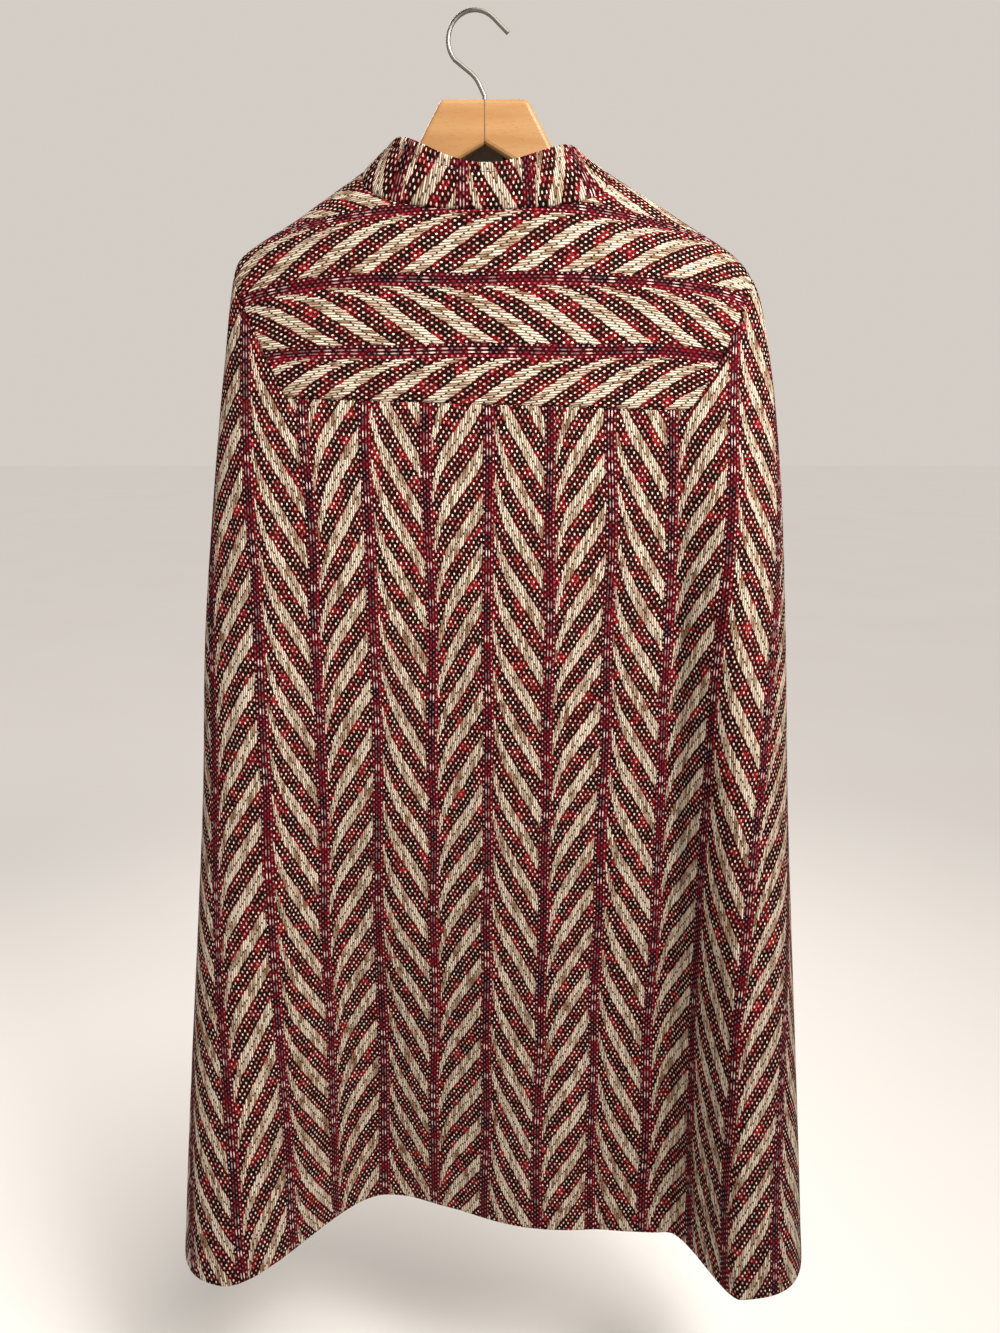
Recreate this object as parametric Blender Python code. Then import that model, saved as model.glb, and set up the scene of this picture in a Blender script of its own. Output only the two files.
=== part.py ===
"""A woven wool cape coat on a wooden hanger, hanging with its back to -Y.

Metres, +Z up, +X to the wearer's right as the back is seen. The origin is the top of the
inside of the hanger's hook, from which the whole weight hangs.

The cape is a hollow tube of cloth. Each level of it is one closed section, which the table
SECTIONS gives, and every panel is a stretch of those sections, cut at the seams.
"""

import math
from collections import namedtuple

import bmesh
import bpy
import numpy as np
from mathutils import Vector

# Cloth
WALL = 0.0026
LINING_WALL = 0.0008
SEAM_GAP = 0.0004
LINING_GAP = 0.0007

# Levels of the seams
HEM_Z = -1.207
HEM_SIDE_DROP = 0.008
YOKE_SEAM_Z = -0.328
YOKE_SEAM_TILT = 0.0078
YOKE_TIP_Z = -0.214
NAPE_Z = -0.166
NECK_POINT_Z = -0.126
FRONT_NECK_Z = -0.136

# How late each of these seams leaves its level on the way to its end
BACK_NECK_POWER = 2.4
FRONT_NECK_POWER = 1.5
HEM_POWER = 3

# Where the yoke's lower corners lie, as shares of the half width
YOKE_CORNER_LEFT = -0.742
YOKE_CORNER_RIGHT = 0.667

# The sections, from the neck points to the hem. left and right are the outline, side_y is
# where back and front meet, and corner is how square the section's ends are. The next five
# are the back's places in Y on the fall lines, and front is the front's place in Y.
Section = namedtuple(
    "Section",
    "z left right side_y corner left_fold left_valley centre right_foot right_fold front",
)
SECTIONS = (
    Section(-0.100, -0.060, 0.076, 0.000, 2.0, -0.030, -0.040, -0.043, -0.040, -0.030, 0.038),
    Section(-0.126, -0.098, 0.114, 0.000, 2.0, -0.032, -0.041, -0.045, -0.041, -0.032, 0.037),
    Section(-0.165, -0.158, 0.180, 0.000, 2.3, -0.034, -0.043, -0.047, -0.043, -0.034, 0.035),
    Section(-0.205, -0.217, 0.242, 0.000, 3.0, -0.036, -0.045, -0.048, -0.044, -0.038, 0.034),
    Section(-0.232, -0.224, 0.258, -0.001, 3.6, -0.038, -0.046, -0.048, -0.044, -0.043, 0.033),
    Section(-0.278, -0.231, 0.269, -0.002, 4.2, -0.042, -0.047, -0.048, -0.044, -0.049, 0.032),
    Section(-0.330, -0.239, 0.278, -0.003, 5.0, -0.046, -0.047, -0.047, -0.043, -0.056, 0.032),
    Section(-0.413, -0.250, 0.288, -0.006, 6.0, -0.051, -0.048, -0.045, -0.040, -0.065, 0.032),
    Section(-0.552, -0.266, 0.299, -0.010, 7.5, -0.058, -0.047, -0.042, -0.035, -0.078, 0.033),
    Section(-0.696, -0.276, 0.308, -0.014, 9.0, -0.066, -0.042, -0.038, -0.033, -0.090, 0.034),
    Section(-0.847, -0.290, 0.320, -0.018, 10.0, -0.078, -0.030, -0.036, -0.034, -0.103, 0.035),
    Section(-1.004, -0.305, 0.333, -0.022, 11.0, -0.096, -0.009, -0.036, -0.039, -0.117, 0.036),
    Section(-1.168, -0.319, 0.346, -0.026, 12.0, -0.114, 0.008, -0.038, -0.045, -0.130, 0.037),
    Section(-1.225, -0.323, 0.350, -0.027, 12.0, -0.120, 0.012, -0.038, -0.047, -0.134, 0.037),
)

# The back's fall lines, from the shoulder to the hem: where each fold's ridge or foot runs in X
FallLine = namedtuple("FallLine", "field shoulder_x hem_x")
FALL_LINES = (
    FallLine("left_fold", -0.205, -0.268),
    FallLine("left_valley", -0.130, -0.108),
    FallLine("centre", 0.030, 0.055),
    FallLine("right_foot", 0.170, 0.208),
    FallLine("right_fold", 0.232, 0.266),
)

# The fronts' soft folds: middle at the shoulder and at the hem, half width and depth at the hem
FrontFold = namedtuple("FrontFold", "shoulder_x hem_x half_width depth")
FRONT_FOLDS = (
    FrontFold(-0.150, -0.205, 0.060, 0.009),
    FrontFold(-0.060, -0.085, 0.045, 0.006),
    FrontFold(0.085, 0.110, 0.050, 0.007),
    FrontFold(0.175, 0.235, 0.060, 0.009),
)
FRONT_FOLD_START_Z = -0.26

# The right front laps over the left one at the centre
CENTRE_FRONT_X = 0.008
LAP = 0.036
LAP_STEP_RUN = 0.045

# The stand collar's top edge at the back, the sides and the front: how far it leans in sideways
# and out from the neck seam, and its level
CollarEdge = namedtuple("CollarEdge", "inward outward z")
COLLAR_EDGES = {
    "back": CollarEdge(0.000, 0.004, -0.130),
    "left": CollarEdge(0.029, 0.000, -0.105),
    "right": CollarEdge(0.029, 0.000, -0.112),
    "front": CollarEdge(0.000, -0.005, -0.094),
}
COLLAR_BULGE = 0.0015
COLLAR_SHARES = (1, 0.9, 0.75, 0.5, 0.25, 0.06, 0)
LINING_SHARES = COLLAR_SHARES[1:-1]

# Counts of columns and rows of each panel
BACK_COLUMNS = (8, 25, 9)
BACK_ROWS = 16
YOKE_ROWS = 8
FRONT_COLUMNS = 16

# Hanger
HANGER_X = 0.008
HANGER_THICKNESS = 0.012
HANGER_EDGE_ROUNDING = 0.0042
HANGER_TOP_Z = -0.0685
HANGER_TOP_HALF = 0.041
HANGER_TOP_CORNER = 0.007
HANGER_TOP_CORNER_TURN = 62
HANGER_NECK_FOOT = (0.062, -0.111)
HANGER_NOTCH_Z = -0.105
HANGER_UNDERSIDE_SLOPE = 0.56
HANGER_RIDGE_START = 0.108
HANGER_HALF_LENGTH = 0.209
HANGER_TIP_ROUNDING = 0.009
HANGER_TIP_BULGE = 0.0036
HANGER_CLEARANCE = 0.0004
HANGER_JOINT_GAP = 0.0003

# Hook
WIRE_RADIUS = 0.002
HOOK_RADIUS = 0.0235
HOOK_TIP_ANGLE = 47
HOOK_TIP_STRAIGHT = 0.017
HOOK_LEFT_ANGLE = 221
HOOK_BEND = (0.0005, -0.0505)
HOOK_BEND_RADIUS = 0.006
HOOK_FOOT = 0.003
HOOK_SEAT_GAP = 0.0003

WOOL = (0.27, 0.125, 0.115, 1)
LINING = (0.085, 0.08, 0.075, 1)
BEECH = (0.72, 0.42, 0.19, 1)
STEEL = (0.42, 0.41, 0.39, 1)


def smooth_through(at, places, values):
    """The value at a place on a smooth curve through a table, flat beyond both ends.
    Between two rows it never goes past either one's value."""
    order = np.argsort(places)
    x, y = np.asarray(places, float)[order], np.asarray(values, float)[order]
    if at <= x[0]:
        return float(y[0])
    if at >= x[-1]:
        return float(y[-1])
    run = np.diff(x)
    rise = np.diff(y) / run
    slope = np.zeros(len(x))
    for k in range(1, len(x) - 1):
        if rise[k - 1] * rise[k] > 0:
            slope[k] = 2 * rise[k - 1] * rise[k] / (rise[k - 1] + rise[k])
    k = int(np.searchsorted(x, at) - 1)
    t = (at - x[k]) / run[k]
    return float(
        y[k] * (1 + 2 * t) * (1 - t) ** 2
        + y[k + 1] * t * t * (3 - 2 * t)
        + run[k] * (slope[k] * t * (1 - t) ** 2 - slope[k + 1] * t * t * (1 - t))
    )


def ease(t):
    """0 to 1 with a soft start and end."""
    t = min(1.0, max(0.0, t))
    return t * t * (3 - 2 * t)


def section_value(field, z):
    levels = [row.z for row in SECTIONS]
    return smooth_through(z, levels, [getattr(row, field) for row in SECTIONS])


def middle_and_half(z):
    left, right = section_value("left", z), section_value("right", z)
    return (left + right) / 2, (right - left) / 2


def share_down(z):
    """How far down from the shoulder tips to the hem a level lies, from 0 to 1."""
    return min(1.0, max(0.0, (z - YOKE_TIP_Z) / (HEM_Z - YOKE_TIP_Z)))


def back_line_y(x, z):
    """The back's place in Y, before its ends round in to the sides."""
    down = share_down(z)
    places = [row.shoulder_x + (row.hem_x - row.shoulder_x) * down for row in FALL_LINES]
    return smooth_through(x, places, [section_value(row.field, z) for row in FALL_LINES])


def front_line_y(x, z):
    """The front's place in Y: nearly flat, with soft folds that deepen towards the hem."""
    y = section_value("front", z)
    opened = ease((z - FRONT_FOLD_START_Z) / (HEM_Z - FRONT_FOLD_START_Z))
    for fold in FRONT_FOLDS:
        middle = fold.shoulder_x + (fold.hem_x - fold.shoulder_x) * share_down(z)
        reach = abs(x - middle) / fold.half_width
        if reach < 1:
            y -= fold.depth * opened * (0.5 + 0.5 * math.cos(math.pi * reach))
    return y


def tube_point(across, z, line_y):
    """A point of the cape's outer surface. across runs from -1 at the left side to 1 at the right,
    and past those the tube goes on round to its other face."""
    middle, half = middle_and_half(z)
    share = math.sin(across * math.pi / 2)
    x = middle + half * share
    side_y = section_value("side_y", z)
    end_round = math.sqrt(max(0.0, 1 - abs(share) ** section_value("corner", z)))
    if abs(across) > 1:
        end_round = -end_round
    return Vector((x, side_y + (line_y(x, z) - side_y) * end_round, z))


def outward(across, z, line_y):
    """The outer surface's normal."""
    step_across, step_z = 0.004, 0.0012
    along = tube_point(across + step_across, z, line_y) - tube_point(across - step_across, z, line_y)
    up = tube_point(across, z + step_z, line_y) - tube_point(across, z - step_z, line_y)
    normal = along.cross(up).normalized()
    return normal if line_y is back_line_y else -normal


def wall_points(across, z, line_y, sunk=0.0):
    """The outer and inner points of the cloth's wall at one place, sunk where it lies under a lap."""
    normal = outward(across, z, line_y)
    outer = tube_point(across, z, line_y) - normal * sunk
    return outer, outer - normal * WALL


def yoke_seam_z(across):
    """The seam between yoke and back panel: level across, then up to each shoulder tip."""
    share = math.sin(across * math.pi / 2)
    corner = YOKE_CORNER_LEFT if share < 0 else YOKE_CORNER_RIGHT
    level = YOKE_SEAM_Z - YOKE_SEAM_TILT * max(YOKE_CORNER_LEFT, min(YOKE_CORNER_RIGHT, share))
    past = max(0.0, (abs(share) - abs(corner)) / (1 - abs(corner)))
    return level + (YOKE_TIP_Z - level) * past


def back_neck_z(across):
    share = abs(math.sin(across * math.pi / 2))
    return NAPE_Z + (NECK_POINT_Z - NAPE_Z) * share**BACK_NECK_POWER


def back_hem_z(across):
    return HEM_Z - HEM_SIDE_DROP * abs(across) ** HEM_POWER


def columns_across():
    """The back's columns, with one on each lower corner of the yoke."""
    left = math.asin(YOKE_CORNER_LEFT) * 2 / math.pi
    right = math.asin(YOKE_CORNER_RIGHT) * 2 / math.pi
    stops = (-1, left, right, 1)
    runs = [np.linspace(stops[k], stops[k + 1], BACK_COLUMNS[k] + 1) for k in range(3)]
    return np.concatenate([runs[0], runs[1][1:], runs[2][1:]])


def back_grid(top_z, bottom_z, rows):
    """Outer and inner points of a panel of the back, row by row from its top edge down."""
    grid = []
    for share in np.linspace(0, 1, rows + 1):
        levels = [(a, top_z(a) + (bottom_z(a) - top_z(a)) * share) for a in columns_across()]
        grid.append([wall_points(a, z, back_line_y) for a, z in levels])
    return grid


def side_levels():
    """The levels of the rows along a side, where the yoke, the back panel and a front all end."""
    yoke = np.linspace(NECK_POINT_Z, YOKE_TIP_Z, YOKE_ROWS + 1)
    panel = np.linspace(YOKE_TIP_Z, back_hem_z(1), BACK_ROWS + 1)
    return np.concatenate([yoke, panel[1:]])


def across_at(x, z):
    middle, half = middle_and_half(z)
    return math.asin((x - middle) / half) * 2 / math.pi


def lap_sink(x, side):
    """How far the left front is pushed in under the right one's edge."""
    if side > 0:
        return 0.0
    from_edge = CENTRE_FRONT_X - LAP / 2 - x
    return (WALL + SEAM_GAP) * ease(1 - from_edge / LAP_STEP_RUN)


def front_place(side, share, z):
    """Across for a share of the way from a side seam to that front's edge, at one level."""
    edge = across_at(CENTRE_FRONT_X - side * LAP / 2, z)
    return side + (edge - side) * share


def front_neck_z(share):
    return NECK_POINT_Z + (FRONT_NECK_Z - NECK_POINT_Z) * share**FRONT_NECK_POWER


def front_shares():
    """Columns of a front, as shares of the way from its side seam to its edge."""
    return np.linspace(0, 1, FRONT_COLUMNS + 1)


def front_wall(side, share, z):
    across = front_place(side, share, z)
    x = tube_point(across, z, front_line_y).x
    return wall_points(across, z, front_line_y, lap_sink(x, side))


def front_grid(side):
    """Outer and inner points of one front, row by row from the neck and shoulder down."""
    grid = []
    levels = side_levels()
    for level in levels:
        down = (level - levels[0]) / (levels[-1] - levels[0])
        row = []
        for share in front_shares():
            top = front_neck_z(share)
            bottom = back_hem_z(1 - share)
            row.append(front_wall(side, share, top + (bottom - top) * down))
        grid.append(row[::side])
    return grid


def neck_ring(right_stop):
    """The wall along the neck seam, from the left front's edge round the back to the right front.
    It ends where the right front reaches right_stop in X."""
    left = [front_wall(-1, s, front_neck_z(s)) for s in front_shares()[::-1]]
    back = [wall_points(a, back_neck_z(a), back_line_y) for a in columns_across()]
    right = [front_wall(1, s, front_neck_z(s)) for s in front_shares()]
    return left + back[1:-1] + [pair for pair in right if pair[0].x >= right_stop]


def collar_rise(base):
    """From a point of the neck seam to the collar's top edge above it."""
    middle, half = middle_and_half(NECK_POINT_Z)
    sideways = max(-1.0, min(1.0, (base.x - middle) / half))
    end = COLLAR_EDGES["back" if base.y < 0 else "front"]
    side = COLLAR_EDGES["left" if sideways < 0 else "right"]
    turn = sideways**2
    inward = end.inward + (side.inward - end.inward) * turn
    outwards = end.outward + (side.outward - end.outward) * turn
    top_z = end.z + (side.z - end.z) * ease(abs(sideways))
    face = -1 if base.y < 0 else 1
    return Vector((-math.copysign(inward, sideways), face * outwards, top_z - base.z))


def collar_grid(ring, shares, inset, wall):
    """Outer and inner points of the collar, or of its lining at an inset, from the top edge down."""
    grid = []
    for share in shares:
        row = []
        for outer, inner in ring:
            rise = collar_rise(outer)
            base_normal = (outer - inner).normalized()
            flat = Vector((base_normal.x, base_normal.y, 0))
            upright = (flat - rise * (flat.dot(rise) / rise.length_squared)).normalized()
            normal = base_normal.lerp(upright, ease(share * 2)).normalized()
            face = outer + rise * share + normal * (COLLAR_BULGE * math.sin(math.pi * share))
            row.append((face - normal * inset, face - normal * (inset + wall)))
        grid.append(row)
    return grid


def drawn_in(layer, gap):
    """A layer of points with its four edges moved in by a gap."""
    points = np.array(layer, float)
    for axis in (0, 1):
        turned = np.moveaxis(points, axis, 0)
        for edge, neighbour in ((0, 1), (-1, -2)):
            towards = turned[neighbour] - turned[edge]
            length = np.linalg.norm(towards, axis=1, keepdims=True)
            turned[edge] += towards / length * gap
    return points


def finish_object(name, mesh, colour, roughness, metallic=0.0):
    mesh.shade_smooth()
    mesh.set_sharp_from_angle(angle=math.radians(40))
    made = bpy.data.objects.new(name, mesh)
    bpy.context.scene.collection.objects.link(made)
    material = bpy.data.materials.new(name)
    material.use_nodes = True
    shader = material.node_tree.nodes["Principled BSDF"]
    shader.inputs["Base Color"].default_value = colour
    shader.inputs["Roughness"].default_value = roughness
    shader.inputs["Metallic"].default_value = metallic
    mesh.materials.append(material)
    return made


def cloth_panel(name, grid, colour):
    """A closed wall of cloth through a grid of outer and inner points."""
    outer = drawn_in([[pair[0] for pair in row] for row in grid], SEAM_GAP / 2)
    inner = drawn_in([[pair[1] for pair in row] for row in grid], SEAM_GAP / 2)
    rows, columns = outer.shape[:2]
    shape = bmesh.new()
    layers = [[[shape.verts.new(p) for p in row] for row in layer] for layer in (outer, inner)]
    for r in range(rows - 1):
        for c in range(columns - 1):
            for layer, turn in zip(layers, (1, -1)):
                corners = [layer[r][c], layer[r + 1][c], layer[r + 1][c + 1], layer[r][c + 1]]
                shape.faces.new(corners[::turn])
    around = [(0, c) for c in range(columns)]
    around += [(r, columns - 1) for r in range(1, rows)]
    around += [(rows - 1, c) for c in range(columns - 2, -1, -1)]
    around += [(r, 0) for r in range(rows - 2, 0, -1)]
    for (r0, c0), (r1, c1) in zip(around, around[1:] + around[:1]):
        shape.faces.new([layers[0][r0][c0], layers[0][r1][c1], layers[1][r1][c1], layers[1][r0][c0]])
    mesh = bpy.data.meshes.new(name)
    shape.to_mesh(mesh)
    shape.free()
    return finish_object(name, mesh, colour, 0.9)


def ridge_points(side):
    """The line under the shoulder ridge that an arm follows, as distances from the joint and levels."""
    points = []
    for z in np.linspace(NECK_POINT_Z, YOKE_TIP_Z, YOKE_ROWS + 1):
        normal = outward(side, z, back_line_y)
        under = tube_point(side, z, back_line_y) - normal * (WALL + HANGER_CLEARANCE)
        points.append((side * (under.x - HANGER_X), under.z))
    tip_z = float(np.interp(HANGER_HALF_LENGTH, [p[0] for p in points], [p[1] for p in points]))
    last = HANGER_HALF_LENGTH - HANGER_TIP_ROUNDING / 2
    inside = [p for p in points if HANGER_RIDGE_START < p[0] < last]
    return [*inside, (HANGER_HALF_LENGTH, tip_z)]


def hanger_outline(side):
    """One arm of the hanger from its joint to its tip, as distances from the joint and levels."""
    top_corner = []
    for turn in np.linspace(0, math.radians(HANGER_TOP_CORNER_TURN), 5):
        distance = HANGER_TOP_HALF - HANGER_TOP_CORNER * (1 - math.sin(turn))
        top_corner.append((distance, HANGER_TOP_Z - HANGER_TOP_CORNER * (1 - math.cos(turn))))
    ridge = ridge_points(side)
    tip_x, tip_z = ridge[-1]
    foot_z = HANGER_NOTCH_Z - HANGER_UNDERSIDE_SLOPE * tip_x
    end = tip_x + HANGER_TIP_BULGE
    tip = [(end, tip_z - HANGER_TIP_ROUNDING), (end, foot_z + HANGER_TIP_ROUNDING), (tip_x, foot_z)]
    joint = HANGER_JOINT_GAP / 2
    notch = (joint, HANGER_NOTCH_Z - HANGER_UNDERSIDE_SLOPE * joint)
    return [(joint, HANGER_TOP_Z), *top_corner, HANGER_NECK_FOOT, *ridge, *tip, notch]


def hanger_arm(name, side):
    """One wooden half: the outline cut from a board and rounded all round."""
    shape = bmesh.new()
    back_y = -HANGER_THICKNESS / 2
    corners = [shape.verts.new((HANGER_X + side * d, back_y, z)) for d, z in hanger_outline(side)]
    board = shape.faces.new(corners)
    moved = bmesh.ops.extrude_face_region(shape, geom=[board])
    raised = [v for v in moved["geom"] if isinstance(v, bmesh.types.BMVert)]
    bmesh.ops.translate(shape, verts=raised, vec=(0, HANGER_THICKNESS, 0))
    bmesh.ops.recalc_face_normals(shape, faces=shape.faces)
    joint_x = HANGER_X + side * HANGER_JOINT_GAP
    long_edges = [
        e
        for e in shape.edges
        if abs(e.verts[0].co.y - e.verts[1].co.y) < 1e-6
        and max(abs(v.co.x - joint_x) for v in e.verts) > 0.001
    ]
    bmesh.ops.bevel(
        shape,
        geom=long_edges,
        offset=HANGER_EDGE_ROUNDING,
        offset_type="OFFSET",
        affect="EDGES",
        segments=3,
        profile=0.5,
        material=-1,
        clamp_overlap=True,
    )
    bmesh.ops.triangulate(shape, faces=shape.faces)
    mesh = bpy.data.meshes.new(name)
    shape.to_mesh(mesh)
    shape.free()
    return finish_object(name, mesh, BEECH, 0.45)


def hook_route():
    """The hook's centre line in X and Z, from its free tip round the bow to the foot of its stem."""
    centre_z = WIRE_RADIUS - HOOK_RADIUS

    def on_bow(degrees):
        turn = math.radians(degrees)
        return Vector((HOOK_RADIUS * math.cos(turn), centre_z + HOOK_RADIUS * math.sin(turn)))

    start = on_bow(HOOK_TIP_ANGLE)
    tip_turn = math.radians(HOOK_TIP_ANGLE)
    leaving = Vector((math.sin(tip_turn), -math.cos(tip_turn)))
    route = [start + leaving * HOOK_TIP_STRAIGHT]
    route += [on_bow(a) for a in np.linspace(HOOK_TIP_ANGLE, HOOK_LEFT_ANGLE, 19)]
    foot = Vector((HANGER_X, HANGER_TOP_Z + HOOK_SEAT_GAP))
    upright = foot + Vector((0, HOOK_FOOT))
    bend = Vector(HOOK_BEND)
    before = bend + (route[-1] - bend).normalized() * HOOK_BEND_RADIUS
    after = bend + (upright - bend).normalized() * HOOK_BEND_RADIUS
    for t in np.linspace(0, 1, 6):
        route.append(before.lerp(bend, t).lerp(bend.lerp(after, t), t))
    return [*route, upright, foot]


def hanger_hook(name):
    curve = bpy.data.curves.new(name, "CURVE")
    curve.dimensions = "3D"
    curve.bevel_depth = WIRE_RADIUS
    curve.bevel_resolution = 2
    curve.use_fill_caps = True
    route = hook_route()
    line = curve.splines.new("POLY")
    line.points.add(len(route) - 1)
    for point, place in zip(line.points, route):
        point.co = (place.x, 0, place.y, 1)
    made = bpy.data.objects.new(name, curve)
    bpy.context.scene.collection.objects.link(made)
    evaluated = made.evaluated_get(bpy.context.evaluated_depsgraph_get())
    mesh = bpy.data.meshes.new_from_object(evaluated)
    bpy.data.objects.remove(made)
    shape = bmesh.new()
    shape.from_mesh(mesh)
    bmesh.ops.remove_doubles(shape, verts=shape.verts, dist=1e-6)
    bmesh.ops.recalc_face_normals(shape, faces=shape.faces)
    shape.to_mesh(mesh)
    shape.free()
    mesh.materials.clear()
    return finish_object(name, mesh, STEEL, 0.35, 1.0)


def build():
    for old in list(bpy.data.objects):
        bpy.data.objects.remove(old)
    cloth_panel("back_yoke", back_grid(back_neck_z, yoke_seam_z, YOKE_ROWS), WOOL)
    cloth_panel("back_panel", back_grid(yoke_seam_z, back_hem_z, BACK_ROWS), WOOL)
    cloth_panel("front_left", front_grid(-1), WOOL)
    cloth_panel("front_right", front_grid(1), WOOL)
    whole_ring = neck_ring(-1.0)
    cloth_panel("collar", collar_grid(whole_ring, COLLAR_SHARES, 0.0, WALL), WOOL)
    # The lining ends short of the right end's lap, where the left end lies against it.
    lined_ring = neck_ring(CENTRE_FRONT_X + LAP / 2 + SEAM_GAP)
    lining_grid = collar_grid(lined_ring, LINING_SHARES, WALL + LINING_GAP, LINING_WALL)
    cloth_panel("collar_lining", lining_grid, LINING)
    hanger_arm("hanger_arm_left", -1)
    hanger_arm("hanger_arm_right", 1)
    hanger_hook("hanger_hook")


build()
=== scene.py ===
"""The looks of a long woven wool cape on a wooden hanger, seen from its back.

Metres, +Z up, the cape's back to -Y. The origin is the top of the inside of the hanger's hook.
"""

import math
from collections import namedtuple

import bmesh
import bpy
import numpy as np
from mathutils import Matrix, Vector


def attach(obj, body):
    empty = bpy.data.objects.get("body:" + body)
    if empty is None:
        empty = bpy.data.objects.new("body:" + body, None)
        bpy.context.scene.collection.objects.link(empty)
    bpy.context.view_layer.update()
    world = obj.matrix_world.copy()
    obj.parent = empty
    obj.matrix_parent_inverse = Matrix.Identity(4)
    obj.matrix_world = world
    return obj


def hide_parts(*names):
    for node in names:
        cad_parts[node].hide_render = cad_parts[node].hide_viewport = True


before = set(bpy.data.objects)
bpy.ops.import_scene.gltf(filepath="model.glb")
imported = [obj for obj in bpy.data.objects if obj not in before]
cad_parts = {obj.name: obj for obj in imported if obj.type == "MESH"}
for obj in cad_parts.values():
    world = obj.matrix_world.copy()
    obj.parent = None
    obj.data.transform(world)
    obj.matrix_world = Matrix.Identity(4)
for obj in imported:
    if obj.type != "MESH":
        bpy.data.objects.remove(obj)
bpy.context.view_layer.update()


# Hanger arms
# Two halves of light beech board, sawn to the slope of the shoulders, rounded over and
# lacquered. They are glued end to end at the middle, where the joint shows as a dark line.
HANGER_JOINT_X = 0.008
GLUE_LINE_CORE = 0.0002
GLUE_LINE_EDGE = 0.0007


def dye(red, green, blue):
    """A colour as the eye reads it, 0 to 255, made linear for the shaders."""
    shares = np.array((red, green, blue)) / 255
    linear = np.where(shares <= 0.04045, shares / 12.92, ((shares + 0.055) / 1.055) ** 2.4)
    return (*linear.tolist(), 1.0)


class Draft:
    """Nodes laid into one tree: sums, masks, mixed colours and noises, each by a short name."""

    def __init__(self, tree):
        self.tree = tree

    def feed(self, socket, value):
        """Links a socket to where its value comes from, or sets it to a plain value."""
        if isinstance(value, bpy.types.NodeSocket):
            self.tree.links.new(value, socket)
        else:
            socket.default_value = value

    def reckon(self, operation, *values):
        node = self.tree.nodes.new("ShaderNodeMath")
        node.operation = operation
        for socket, value in zip(node.inputs, values):
            self.feed(socket, value)
        return node.outputs[0]

    def fade(self, value, low, high, start=0.0, end=1.0):
        """From start to end as a value goes from low to high, softly."""
        node = self.tree.nodes.new("ShaderNodeMapRange")
        node.interpolation_type = "SMOOTHSTEP"
        for name, given in zip(
            ("Value", "From Min", "From Max", "To Min", "To Max"), (value, low, high, start, end)
        ):
            self.feed(node.inputs[name], given)
        return node.outputs["Result"]

    def mix(self, share, first, second):
        node = self.tree.nodes.new("ShaderNodeMix")
        node.data_type = "RGBA"
        for socket, value in zip((node.inputs[0], node.inputs[6], node.inputs[7]), (share, first, second)):
            self.feed(socket, value)
        return node.outputs[2]

    def shade(self, colour, share):
        """A colour made darker by a share from 0 to 1."""
        node = self.tree.nodes.new("ShaderNodeVectorMath")
        node.operation = "SCALE"
        self.feed(node.inputs[0], colour)
        self.feed(node.inputs["Scale"], share)
        return node.outputs[0]

    def place(self, x, y, z=0.0):
        node = self.tree.nodes.new("ShaderNodeCombineXYZ")
        for socket, value in zip(node.inputs, (x, y, z)):
            self.feed(socket, value)
        return node.outputs[0]

    def parts(self, vector):
        node = self.tree.nodes.new("ShaderNodeSeparateXYZ")
        self.feed(node.inputs[0], vector)
        return node.outputs

    def object_place(self):
        return self.tree.nodes.new("ShaderNodeTexCoord").outputs["Object"]

    def cloth_place(self):
        """A point's place in its own sheet: columns across and repeats down."""
        node = self.tree.nodes.new("ShaderNodeUVMap")
        node.uv_map = "cloth"
        return node.outputs["UV"]

    def noise(self, vector, scale, detail=2.0):
        """Soft noise, finer along each axis that has a larger scale."""
        mapping = self.tree.nodes.new("ShaderNodeMapping")
        self.feed(mapping.inputs["Vector"], vector)
        mapping.inputs["Scale"].default_value = scale
        node = self.tree.nodes.new("ShaderNodeTexNoise")
        self.feed(node.inputs["Vector"], mapping.outputs[0])
        node.inputs["Scale"].default_value = 1.0
        node.inputs["Detail"].default_value = detail
        return node.outputs["Fac"]

    def chance(self, x, y, z):
        """One random share for each cell with these whole numbers."""
        node = self.tree.nodes.new("ShaderNodeTexWhiteNoise")
        node.noise_dimensions = "3D"
        self.feed(node.inputs["Vector"], self.place(x, y, z))
        return node.outputs["Value"]


def new_finish(name, roughness):
    """A material with its own draft and shader."""
    finish = bpy.data.materials.new(name)
    finish.use_nodes = True
    shader = finish.node_tree.nodes["Principled BSDF"]
    shader.inputs["Roughness"].default_value = roughness
    return finish, Draft(finish.node_tree), shader


def raise_surface(draft, shader, height, depth):
    """Lets a height from 0 to 1 stand up from the surface by a depth."""
    bump = draft.tree.nodes.new("ShaderNodeBump")
    bump.inputs["Distance"].default_value = depth
    draft.feed(bump.inputs["Height"], height)
    draft.feed(shader.inputs["Normal"], bump.outputs["Normal"])


def finish_solid(name, finish):
    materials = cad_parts[name].data.materials
    materials.clear()
    materials.append(finish)


beech, draft, shader = new_finish("lacquered_beech", 0.5)
wood_place = draft.object_place()
growth = draft.noise(wood_place, (6, 30, 60), 4.0)
flecks = draft.noise(wood_place, (220, 900, 1400), 1.0)
honey = draft.mix(draft.fade(growth, 0.3, 0.7), dye(168, 122, 75), dye(182, 140, 93))
flecked = draft.mix(draft.fade(flecks, 0.60, 0.72, 0.0, 0.45), honey, dye(150, 96, 52))
wood_x = draft.parts(wood_place)[0]
from_joint = draft.reckon("ABSOLUTE", draft.reckon("SUBTRACT", wood_x, HANGER_JOINT_X))
glue_line = draft.fade(from_joint, GLUE_LINE_CORE, GLUE_LINE_EDGE, 1.0, 0.0)
draft.feed(shader.inputs["Base Color"], draft.mix(glue_line, flecked, dye(92, 56, 34)))
draft.feed(shader.inputs["Roughness"], draft.fade(flecks, 0.4, 0.7, 0.34, 0.52))
raise_surface(draft, shader, flecks, 0.00008)
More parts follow.
